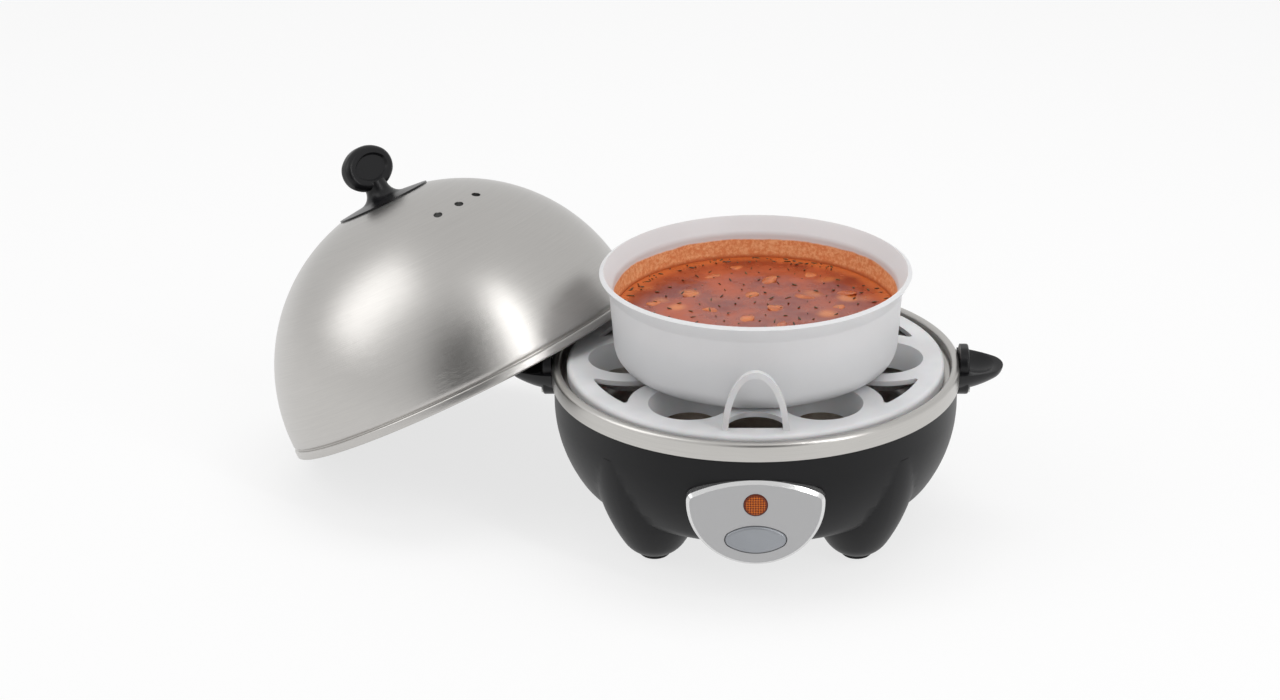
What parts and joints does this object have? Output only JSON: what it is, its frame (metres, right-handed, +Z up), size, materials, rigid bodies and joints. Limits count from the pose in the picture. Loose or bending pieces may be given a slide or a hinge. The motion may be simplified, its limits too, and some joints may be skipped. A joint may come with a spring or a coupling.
{
  "type": "electric egg cooker",
  "caption": "Domestic electric egg cooker with black footed base, steel rim, egg tray, white steam bowl of soup and a domed steel lid leaning on it.",
  "frame": {"origin": "axis of the round base, on the surface that the rubber feet stand on", "axes": "+Z up, control panel and power button face -Y, side handles along X, lid leans at -X"},
  "size_m": [0.3277, 0.2335, 0.1425],
  "materials": {
    "black_plastic": "satin",
    "cover_plastic": "matt",
    "foot_rubber": "matt",
    "pan_steel": "brushed",
    "plate_aluminium": "dull",
    "element_steel": "dull",
    "clamp_steel": "plain",
    "thermostat_body": "matt",
    "fuse_sleeve": "woven glass sleeve",
    "terminal_plastic": "matt",
    "panel_silver": "satin silver",
    "lens_orange": "clear tinted",
    "lamp_glass": "clear",
    "button_grey": "satin",
    "switch_plastic": "matt",
    "screw_steel": "zinc plated",
    "gland_rubber": "matt",
    "tray_plastic": "satin",
    "bowl_plastic": "satin",
    "soup": "wet",
    "lid_steel": "brushed",
    "knob_plastic": "satin"
  },
  "bodies": {
    "base": {"base_shell": "black_plastic", "bottom_cover": "cover_plastic", "cover_screws": "screw_steel", "foot_pad_front_left": "foot_rubber", "foot_pad_front_right": "foot_rubber", "foot_pad_back_left": "foot_rubber", "foot_pad_back_right": "foot_rubber", "steam_pan": "pan_steel", "heating_plate": "plate_aluminium", "heating_element": "element_steel", "plate_clamp_ring": "clamp_steel", "thermostat": "thermostat_body", "thermal_fuse": "fuse_sleeve", "terminal_block": "terminal_plastic", "control_panel": "panel_silver", "indicator_lens": "lens_orange", "indicator_lamp": "lamp_glass", "switch_body": "switch_plastic", "left_handle": "black_plastic", "right_handle": "black_plastic", "handle_screws": "screw_steel", "cord_gland": "gland_rubber"},
    "button": {"power_button": "button_grey"},
    "tray": {"egg_tray": "tray_plastic"},
    "bowl": {"cooking_bowl": "bowl_plastic", "soup": "soup"},
    "lid": {"lid_dome": "lid_steel", "lid_knob": "knob_plastic", "knob_washer": "screw_steel", "knob_screw": "screw_steel"}
  },
  "joints": [
    {"name": "tray_lift", "type": "slide", "parent": "base", "child": "tray", "axis": [0, 0, 1], "range_m": [0, 0.12]},
    {"name": "bowl_lift", "type": "slide", "parent": "tray", "child": "bowl", "axis": [0, 0, 1], "range_m": [0, 0.08]},
    {"name": "lid_lift", "type": "slide", "parent": "tray", "child": "lid", "axis": [0, 0, 1], "range_m": [0, 0.16]},
    {"name": "button_press", "type": "slide", "parent": "base", "child": "button", "axis": [0, 1, 0], "range_m": [0, 0.0025], "stiffness_N_per_m": 400}
  ]
}
